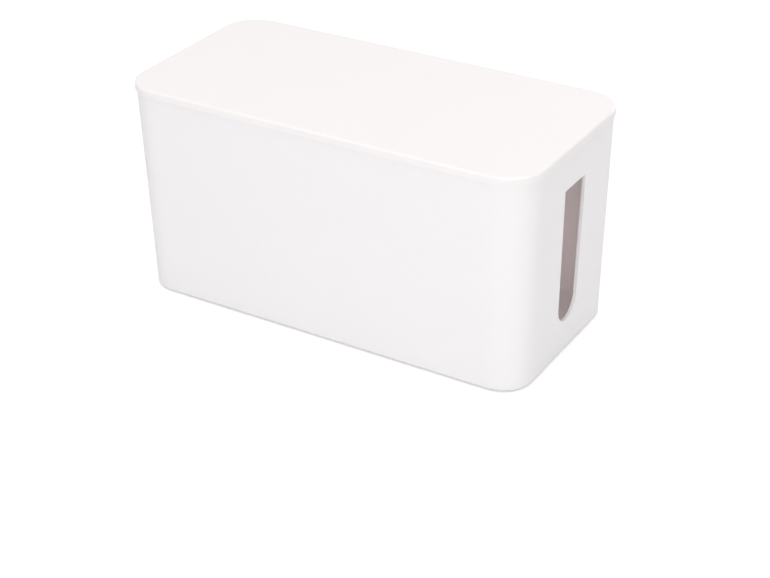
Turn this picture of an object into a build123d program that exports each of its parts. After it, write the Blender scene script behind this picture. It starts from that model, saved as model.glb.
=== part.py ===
"""Cable management box: a drafted tub with a cable slot in each end and a lift-off lid.

Millimetres, +Z up. X runs along the length of the box, from the left end to the right end,
and Y from the front to the rear. The origin is on the table, under the centre of the box.
"""

from build123d import *
import os
from math import tan, radians

os.makedirs("parts", exist_ok=True)

# ---- Overall size: the box standing on its feet with the lid on ------------------------
LENGTH = 235.0
WIDTH = 113.0
HEIGHT = 119.7

# ---- Lid -------------------------------------------------------------------------------
LID_CORNER_RADIUS = 20.0
LID_EDGE_HEIGHT = 4.3
LID_EDGE_THICKNESS = 2.2
LID_TOP_THICKNESS = 2.2
LID_TOP_FILLET = 1.2
LID_LOWER_FILLET = 0.25
LID_INSIDE_FILLET = 1.0
LID_OVERHANG = 0.8
RIB_DEPTH = 5.0
RIB_THICKNESS = 1.6
RIB_CLEARANCE = 0.4
RIB_LEAD_IN = 0.5

# ---- Tub -------------------------------------------------------------------------------
WALL_THICKNESS = 2.2
FLOOR_THICKNESS = 2.4
DRAFT_ANGLE = 1.3
RIM_EDGE_FILLET = 0.3
BASE_EDGE_FILLET = 1.2
INSIDE_BASE_FILLET = 3.0

# ---- Cable slots, one in each end wall -------------------------------------------------
SLOT_TOP_WIDTH = 22.8
SLOT_BOTTOM_RADIUS = 10.3
SLOT_BELOW_RIM = 19.0
SLOT_ABOVE_BASE = 17.6
SLOT_CORNER_FILLET = 0.8
SLOT_EDGE_FILLET = 0.4

# ---- Rubber feet, stuck into round recesses under the floor ----------------------------
FOOT_DIAMETER = 12.0
FOOT_THICKNESS = 2.0
FOOT_EDGE_FILLET = 0.5
FOOT_RECESS_DEPTH = 1.0
FOOT_RECESS_CLEARANCE = 0.15
FOOT_INSET = 18.0

# ---- Marks that the mould leaves on the hidden faces -----------------------------------
EJECTOR_DIAMETER = 7.0
EJECTOR_DEPTH = 0.2
EJECTOR_COLUMNS = 4
EJECTOR_ROWS = 2
GATE_RECESS_DIAMETER = 10.0
GATE_RECESS_DEPTH = 0.6
GATE_STUB_DIAMETER = 2.4

# ---- Levels ----------------------------------------------------------------------------
base_z = FOOT_THICKNESS - FOOT_RECESS_DEPTH
floor_z = base_z + FLOOR_THICKNESS
rim_z = HEIGHT - LID_EDGE_HEIGHT
lid_ceiling_z = HEIGHT - LID_TOP_THICKNESS
rib_tip_z = rim_z - RIB_DEPTH
slot_top_z = rim_z - SLOT_BELOW_RIM
slot_round_z = base_z + SLOT_ABOVE_BASE + SLOT_BOTTOM_RADIUS

# ---- How far each outline lies inside the lid's outline --------------------------------
draft = tan(radians(DRAFT_ANGLE))
base_inset = LID_OVERHANG + (rim_z - base_z) * draft
floor_inset = LID_OVERHANG + (rim_z - floor_z) * draft + WALL_THICKNESS
rim_inside_inset = LID_OVERHANG + WALL_THICKNESS
rib_outer_inset = rim_inside_inset + RIB_CLEARANCE - (lid_ceiling_z - rim_z) * draft
rib_inner_inset = rib_outer_inset + RIB_THICKNESS

# ---- Foot centres ----------------------------------------------------------------------
foot_x = LENGTH / 2 - base_inset - FOOT_INSET
foot_y = WIDTH / 2 - base_inset - FOOT_INSET

# ---- Ejector pin spacing ---------------------------------------------------------------
ejector_pitch_x = (LENGTH - 2 * floor_inset) / EJECTOR_COLUMNS
ejector_pitch_y = (WIDTH - 2 * floor_inset) / EJECTOR_ROWS


def box_outline(inset):
    """Sketch the rounded plan of the box, moved inwards from the lid's outline by inset."""
    RectangleRounded(LENGTH - 2 * inset, WIDTH - 2 * inset, LID_CORNER_RADIUS - inset)


def ejector_circles():
    """Sketch the round marks that the ejector pins leave, spread evenly over a face."""
    with GridLocations(ejector_pitch_x, ejector_pitch_y, EJECTOR_COLUMNS, EJECTOR_ROWS):
        Circle(EJECTOR_DIAMETER / 2)


def gate_ring():
    """Sketch the ring round the injection gate, which leaves the gate's stub standing."""
    Circle(GATE_RECESS_DIAMETER / 2)
    Circle(GATE_STUB_DIAMETER / 2, mode=Mode.SUBTRACT)


# ---- Tub moulding ----------------------------------------------------------------------
with BuildPart() as box_body:
    with BuildSketch(Plane.XY.offset(base_z)):
        box_outline(base_inset)
    extrude(amount=rim_z - base_z, taper=-DRAFT_ANGLE)
    fillet(box_body.faces().sort_by(Axis.Z)[0].edges(), BASE_EDGE_FILLET)

    # Hollow it from the floor up, leaving walls of one thickness
    with BuildSketch(Plane.XY.offset(floor_z)):
        box_outline(floor_inset)
    extrude(amount=rim_z - floor_z, taper=-DRAFT_ANGLE, mode=Mode.SUBTRACT)
    floor_top = box_body.faces().filter_by(Axis.Z).group_by(Axis.Z)[1]
    fillet(floor_top.edges(), INSIDE_BASE_FILLET)
    rim_top = box_body.faces().filter_by(Axis.Z).sort_by(Axis.Z)[-1]
    fillet(rim_top.outer_wire().edges(), RIM_EDGE_FILLET)

    # One cut through both end walls: straight at the top, narrowing to a round bottom
    with BuildSketch(Plane.YZ) as cable_slot:
        with BuildLine():
            Line((-SLOT_TOP_WIDTH / 2, slot_top_z), (SLOT_TOP_WIDTH / 2, slot_top_z))
            CenterArc((0, slot_round_z), SLOT_BOTTOM_RADIUS, start_angle=180, arc_size=180)
        make_hull()
        fillet(cable_slot.vertices().group_by(Axis.Y)[-1], SLOT_CORNER_FILLET)
    extrude(amount=LENGTH / 2, both=True, mode=Mode.SUBTRACT)
    slot_rims = box_body.edges(Select.LAST).filter_by(Axis.X, reverse=True)
    fillet(slot_rims, SLOT_EDGE_FILLET)

    # Recesses that the feet are stuck into
    with BuildSketch(Plane.XY.offset(base_z)):
        with GridLocations(2 * foot_x, 2 * foot_y, 2, 2):
            Circle(FOOT_DIAMETER / 2 + FOOT_RECESS_CLEARANCE)
    extrude(amount=FOOT_RECESS_DEPTH, mode=Mode.SUBTRACT)

    # Ejector pins push on the inside of the floor; the gate is in the middle of the underside
    with BuildSketch(Plane.XY.offset(floor_z)):
        ejector_circles()
    extrude(amount=-EJECTOR_DEPTH, mode=Mode.SUBTRACT)
    with BuildSketch(Plane.XY.offset(base_z)):
        gate_ring()
    extrude(amount=GATE_RECESS_DEPTH, mode=Mode.SUBTRACT)

box_body.part.label = "box_body"
export_step(box_body.part, "parts/box_body.step")

# ---- Lid moulding ----------------------------------------------------------------------
with BuildPart() as lid:
    with BuildSketch(Plane.XY.offset(rim_z)):
        box_outline(0)
    extrude(amount=LID_EDGE_HEIGHT)
    fillet(lid.faces().sort_by(Axis.Z)[-1].edges(), LID_TOP_FILLET)
    fillet(lid.faces().sort_by(Axis.Z)[0].edges(), LID_LOWER_FILLET)

    # Hollow underside, which leaves the edge standing on the tub's rim
    with BuildSketch(Plane.XY.offset(rim_z)):
        box_outline(LID_EDGE_THICKNESS)
    extrude(amount=lid_ceiling_z - rim_z, mode=Mode.SUBTRACT)

    # Locating rib, drafted like the wall it drops inside
    with BuildSketch(Plane.XY.offset(lid_ceiling_z)):
        box_outline(rib_outer_inset)
    extrude(amount=rib_tip_z - lid_ceiling_z, taper=DRAFT_ANGLE)
    with BuildSketch(Plane.XY.offset(rib_tip_z)):
        box_outline(rib_inner_inset + (lid_ceiling_z - rib_tip_z) * draft)
    extrude(amount=lid_ceiling_z - rib_tip_z, taper=-DRAFT_ANGLE, mode=Mode.SUBTRACT)
    rib_tip = lid.faces().filter_by(Axis.Z).sort_by(Axis.Z)[0]
    chamfer(rib_tip.outer_wire().edges(), RIB_LEAD_IN)
    ceiling = lid.faces().filter_by(Axis.Z).group_by(Axis.Z)[-2].sort_by(SortBy.AREA)[-1]
    fillet(ceiling.edges(), LID_INSIDE_FILLET)

    # Ejector pins and gate are both on the lid's hidden side
    with BuildSketch(Plane.XY.offset(lid_ceiling_z)):
        ejector_circles()
    extrude(amount=EJECTOR_DEPTH, mode=Mode.SUBTRACT)
    with BuildSketch(Plane.XY.offset(lid_ceiling_z)):
        gate_ring()
    extrude(amount=GATE_RECESS_DEPTH, mode=Mode.SUBTRACT)

lid.part.label = "lid"
export_step(lid.part, "parts/lid.step")

# ---- Rubber feet -----------------------------------------------------------------------
foot_places = {
    "foot_front_left": (-foot_x, -foot_y),
    "foot_front_right": (foot_x, -foot_y),
    "foot_rear_left": (-foot_x, foot_y),
    "foot_rear_right": (foot_x, foot_y),
}

for foot_name, (x, y) in foot_places.items():
    with BuildPart() as foot:
        with BuildSketch(Plane((x, y, 0))):
            Circle(FOOT_DIAMETER / 2)
        extrude(amount=FOOT_THICKNESS)
        fillet(foot.edges().sort_by(Axis.Z)[0], FOOT_EDGE_FILLET)

    foot.part.label = foot_name
    export_step(foot.part, f"parts/{foot_name}.step")
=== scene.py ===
"""Looks of the cable management box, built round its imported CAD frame. Metres, +Z up."""

import math

import bpy
from mathutils import Matrix, Vector

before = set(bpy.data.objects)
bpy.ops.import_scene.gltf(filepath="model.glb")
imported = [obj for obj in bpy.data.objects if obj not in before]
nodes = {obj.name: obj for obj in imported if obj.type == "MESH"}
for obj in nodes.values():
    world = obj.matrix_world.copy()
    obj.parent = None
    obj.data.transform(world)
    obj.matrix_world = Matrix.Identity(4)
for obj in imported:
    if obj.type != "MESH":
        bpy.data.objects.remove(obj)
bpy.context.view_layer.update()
MM = 0.001

# ---- Finish of the two white mouldings -------------------------------------------------
TUB_WHITE = (0.923, 0.903, 0.914)
TUB_WHITE_DEEP = (0.918, 0.898, 0.908)
LID_WHITE = (0.944, 0.907, 0.903)
LID_WHITE_DEEP = (0.939, 0.902, 0.897)
PLASTIC_IOR = 1.49
PLASTIC_SPECULAR = 0.3
PLASTIC_ROUGHNESS = (0.54, 0.62)
GLOW_WEIGHT = 0.15
GLOW_RADIUS = (1.0, 0.82, 0.74)
GLOW_DEPTH = 1.5 * MM
SINK_DEPTH = 0.05 * MM
GRAIN_DEPTH = 0.006 * MM

# ---- Finish of the rubber feet ---------------------------------------------------------
FOOT_GREY = (0.105, 0.105, 0.11)
FOOT_GREY_DUSTY = (0.17, 0.168, 0.165)
RUBBER_IOR = 1.52
RUBBER_ROUGHNESS = (0.72, 0.9)
PIT_DEPTH = 0.05 * MM

# ---- Noises ----------------------------------------------------------------------------
# Cells per metre, octaves of detail, roughness of the detail, distortion
FLOW_CLOUDS = (14.0, 3.0, 0.55, 0.4)
HANDLING_CLOUDS = (45.0, 4.0, 0.6, 0.0)
SINK_WAVES = (9.0, 1.0, 0.5, 0.0)
MOULD_GRAIN = (3200.0, 3.0, 0.6, 0.0)
DUST_CLOUDS = (420.0, 4.0, 0.65, 0.0)
RUBBER_PITS = (3000.0, 3.0, 0.5, 0.0)

# The stretch of a noise's values over which its effect grows from none to full
FULL = (0.0, 1.0)
FLOW_STRETCH = (0.35, 0.65)
HANDLING_STRETCH = (0.35, 0.7)
DUST_STRETCH = (0.45, 0.75)


# ---- Node helpers ----------------------------------------------------------------------
def new_material(name):
    """Return a fresh node material, its tree and its Principled shader."""
    material = bpy.data.materials.new(name)
    material.use_nodes = True
    tree = material.node_tree
    return material, tree, tree.nodes["Principled BSDF"]


def noise(tree, cells_per_metre, detail, roughness, distortion):
    """Return the value of a noise of that fineness, in the piece's own coordinates."""
    place = tree.nodes.new("ShaderNodeTexCoord")
    cloud = tree.nodes.new("ShaderNodeTexNoise")
    cloud.inputs["Scale"].default_value = cells_per_metre
    cloud.inputs["Detail"].default_value = detail
    cloud.inputs["Roughness"].default_value = roughness
    cloud.inputs["Distortion"].default_value = distortion
    tree.links.new(place.outputs["Object"], cloud.inputs["Vector"])
    return cloud.outputs["Fac"]


def remap(tree, value, source, target):
    """Return value with its source stretch spread over the target stretch, clamped."""
    spread = tree.nodes.new("ShaderNodeMapRange")
    spread.inputs["From Min"].default_value, spread.inputs["From Max"].default_value = source
    spread.inputs["To Min"].default_value, spread.inputs["To Max"].default_value = target
    tree.links.new(value, spread.inputs["Value"])
    return spread.outputs["Result"]


def maths(tree, operation, first, second):
    """Return the result of a two-value operation."""
    step = tree.nodes.new("ShaderNodeMath")
    step.operation = operation
    tree.links.new(first, step.inputs[0])
    tree.links.new(second, step.inputs[1])
    return step.outputs["Value"]


def mix_colour(tree, factor, first, second):
    """Return the mix of two colours by a node's value."""
    mix = tree.nodes.new("ShaderNodeMix")
    mix.data_type = "RGBA"
    mix.inputs["A"].default_value = (*first, 1)
    mix.inputs["B"].default_value = (*second, 1)
    tree.links.new(factor, mix.inputs["Factor"])
    return mix.outputs["Result"]


def bump(tree, height, depth, normal=None):
    """Return a normal raised by height times depth metres, on top of an earlier normal."""
    raised = tree.nodes.new("ShaderNodeBump")
    raised.inputs["Strength"].default_value = 1.0
    raised.inputs["Distance"].default_value = depth
    tree.links.new(height, raised.inputs["Height"])
    if normal is not None:
        tree.links.new(normal, raised.inputs["Normal"])
    return raised.outputs["Normal"]


def seen_by_eye(tree):
    """Return 1 for the rays by which a backdrop is seen: straight, mirrored or through glass."""
    rays = tree.nodes.new("ShaderNodeLightPath").outputs
    mirrored = maths(tree, "MAXIMUM", rays["Is Camera Ray"], rays["Is Glossy Ray"])
    return maths(tree, "MAXIMUM", mirrored, rays["Is Transmission Ray"])


# ---- Materials of the part -------------------------------------------------------------
def satin_plastic(name, white, white_deep):
    """Injection-moulded white plastic: fine spark-eroded grain, faint flow clouds, satin sheen."""
    material, tree, shader = new_material(name)
    flow = remap(tree, noise(tree, *FLOW_CLOUDS), FLOW_STRETCH, FULL)
    tree.links.new(mix_colour(tree, flow, white, white_deep), shader.inputs["Base Color"])
    handling = remap(tree, noise(tree, *HANDLING_CLOUDS), HANDLING_STRETCH, PLASTIC_ROUGHNESS)
    tree.links.new(handling, shader.inputs["Roughness"])
    sink = bump(tree, noise(tree, *SINK_WAVES), SINK_DEPTH)
    grain = bump(tree, noise(tree, *MOULD_GRAIN), GRAIN_DEPTH, sink)
    tree.links.new(grain, shader.inputs["Normal"])
    shader.inputs["IOR"].default_value = PLASTIC_IOR
    shader.inputs["Specular IOR Level"].default_value = PLASTIC_SPECULAR
    shader.inputs["Subsurface Weight"].default_value = GLOW_WEIGHT
    shader.inputs["Subsurface Radius"].default_value = GLOW_RADIUS
    shader.inputs["Subsurface Scale"].default_value = GLOW_DEPTH
    return material


def matt_rubber(name):
    """Grey rubber: matt, finely pitted, a little dusty."""
    material, tree, shader = new_material(name)
    dust = remap(tree, noise(tree, *DUST_CLOUDS), DUST_STRETCH, FULL)
    dusty_grey = mix_colour(tree, dust, FOOT_GREY, FOOT_GREY_DUSTY)
    tree.links.new(dusty_grey, shader.inputs["Base Color"])
    tree.links.new(remap(tree, dust, FULL, RUBBER_ROUGHNESS), shader.inputs["Roughness"])
    pits = bump(tree, noise(tree, *RUBBER_PITS), PIT_DEPTH)
    tree.links.new(pits, shader.inputs["Normal"])
    shader.inputs["IOR"].default_value = RUBBER_IOR
    return material


def dress(node, material):
    """Give a CAD node its finish."""
    slots = nodes[node].data.materials
    slots.clear()
    slots.append(material)


tub_plastic = satin_plastic("tub_plastic", TUB_WHITE, TUB_WHITE_DEEP)
lid_plastic = satin_plastic("lid_plastic", LID_WHITE, LID_WHITE_DEEP)
foot_rubber = matt_rubber("foot_rubber")
dress("box_body", tub_plastic)
dress("lid", lid_plastic)
for foot in ("foot_front_left", "foot_front_right", "foot_rear_left", "foot_rear_right"):
    dress(foot, foot_rubber)

# ---- Floor -----------------------------------------------------------------------------
# The eye sees it lifted to white, least near the box, so that the box's shadow stays
FLOOR_HALF_SIZE = 6.0
FLOOR_WHITE = (0.86, 0.86, 0.86)
FLOOR_ROUGHNESS = 0.9
FLOOR_SPECULAR = 0.1
FLOOR_LIFT = (0.32, 0.75)
FLOOR_LIFT_RADII = (0.3, 1.5)


def floor_material():
    """Pale matt floor, with a lift for the eye that grows with the distance from the box."""
    material, tree, shader = new_material("floor_white")
    shader.inputs["Base Color"].default_value = (*FLOOR_WHITE, 1)
    shader.inputs["Roughness"].default_value = FLOOR_ROUGHNESS
    shader.inputs["Specular IOR Level"].default_value = FLOOR_SPECULAR
    shader.inputs["Emission Color"].default_value = (1, 1, 1, 1)
    place = tree.nodes.new("ShaderNodeTexCoord")
    radius = tree.nodes.new("ShaderNodeVectorMath")
    radius.operation = "LENGTH"
    tree.links.new(place.outputs["Object"], radius.inputs[0])
    lift = remap(tree, radius.outputs["Value"], FLOOR_LIFT_RADII, FLOOR_LIFT)
    seen_lift = maths(tree, "MULTIPLY", seen_by_eye(tree), lift)
    tree.links.new(seen_lift, shader.inputs["Emission Strength"])
    return material


def floor_plane(half):
    """Return a square level plane at the table's height, centred under the box."""
    corners = [(-half, -half, 0), (half, -half, 0), (half, half, 0), (-half, half, 0)]
    mesh = bpy.data.meshes.new("floor")
    mesh.from_pydata(corners, [], [(0, 1, 2, 3)])
    plane = bpy.data.objects.new("floor", mesh)
    bpy.context.scene.collection.objects.link(plane)
    return plane


floor = floor_plane(FLOOR_HALF_SIZE)
floor.data.materials.append(floor_material())

# ---- Light -----------------------------------------------------------------------------
WORLD_LIT = 0.38
WORLD_SEEN = 1.0
LIT_POINT = (0, 0, 0.06)
# Place, side in metres, watts
SOFTBOXES = {
    "overhead": ((0, 0, 2.8), 2.8, 38.6),
    "front_high": ((0, -0.8, 1.1), 0.8, 2.55),
    "front_right": ((0.8, -1.1, 0.5), 0.8, 3.7),
    "front_low": ((0.2, -1.3, 0.15), 0.5, 1.85),
    "right_low": ((1.2, 0.3, 0.15), 0.5, 1.25),
    "rear": ((0, 1.3, 0.4), 0.8, 4.2),
}

# A row of warm lamps in the tub stands for the light that comes through its thin white walls
INNER_LAMPS = 6
INNER_LAMP_PITCH = 0.03
INNER_LAMP_HEIGHT = 0.035
INNER_LAMP_RADIUS = 0.012
INNER_LAMP_WATTS = 0.0048
INNER_LAMP_WARMTH = (1.0, 0.855, 0.82)


def studio_world():
    """Even white studio: plain light on the box, pure white where it is seen."""
    world = bpy.data.worlds.new("studio")
    world.use_nodes = True
    tree = world.node_tree
    background = tree.nodes["Background"]
    background.inputs["Color"].default_value = (1, 1, 1, 1)
    strength = remap(tree, seen_by_eye(tree), FULL, (WORLD_LIT, WORLD_SEEN))
    tree.links.new(strength, background.inputs["Strength"])
    bpy.context.scene.world = world


def add_lamp(name, kind, place, watts):
    """Hang a lamp of that kind at a place, and return it."""
    lamp = bpy.data.objects.new(name, bpy.data.lights.new(name, kind))
    lamp.location = place
    lamp.data.energy = watts
    bpy.context.scene.collection.objects.link(lamp)
    return lamp


def softbox(name, place, side, watts):
    """Add a square soft light that shines from place on the box."""
    lamp = add_lamp(name, "AREA", place, watts)
    lamp.data.size = side
    lamp.rotation_mode = "QUATERNION"
    lamp.rotation_quaternion = (Vector(LIT_POINT) - Vector(place)).to_track_quat("-Z", "Y")


def inner_lamp(name, x):
    """Add one lamp of the row in the tub, unseen by camera and gloss."""
    lamp = add_lamp(name, "POINT", (x, 0, INNER_LAMP_HEIGHT), INNER_LAMP_WATTS)
    lamp.data.shadow_soft_size = INNER_LAMP_RADIUS
    lamp.data.color = INNER_LAMP_WARMTH
    lamp.visible_camera = False
    lamp.visible_glossy = False


studio_world()
for lamp_name, (place, side, watts) in SOFTBOXES.items():
    softbox(lamp_name, place, side, watts)
for index in range(INNER_LAMPS):
    inner_lamp(f"inner_{index}", (index - (INNER_LAMPS - 1) / 2) * INNER_LAMP_PITCH)

# ---- Camera, from the photograph's own view --------------------------------------------
PHOTO_WIDTH = 770
SENSOR_WIDTH = 36.0
FOCAL_PIXELS = 1736.07
AZIMUTH = 31.528
ELEVATION = 30.093
ROLL = -0.789
DISTANCE = 0.91115
AIM_HEIGHT = 0.06035
AIM_RIGHT = 0.0065
AIM_UP = -0.04942


def photo_camera():
    """Place the camera where the photograph was taken from."""
    azimuth, elevation, roll = map(math.radians, (AZIMUTH, ELEVATION, ROLL))
    level, rise = math.cos(elevation), math.sin(elevation)
    back = Vector((math.sin(azimuth) * level, -math.cos(azimuth) * level, rise))
    right = Vector((math.cos(azimuth), math.sin(azimuth), 0))
    up = back.cross(right)
    rolled_right = math.cos(roll) * right + math.sin(roll) * up
    rolled_up = -math.sin(roll) * right + math.cos(roll) * up
    camera = bpy.data.objects.new("camera", bpy.data.cameras.new("camera"))
    camera.data.sensor_width = SENSOR_WIDTH
    camera.data.lens = FOCAL_PIXELS / PHOTO_WIDTH * SENSOR_WIDTH
    turn = Matrix((rolled_right, rolled_up, back)).transposed()
    camera.rotation_mode = "QUATERNION"
    camera.rotation_quaternion = turn.to_quaternion()
    aim = Vector((0, 0, AIM_HEIGHT)) + rolled_right * AIM_RIGHT + rolled_up * AIM_UP
    camera.location = aim + back * DISTANCE
    bpy.context.scene.collection.objects.link(camera)
    bpy.context.scene.camera = camera


photo_camera()
bpy.context.scene.view_settings.view_transform = "Standard"
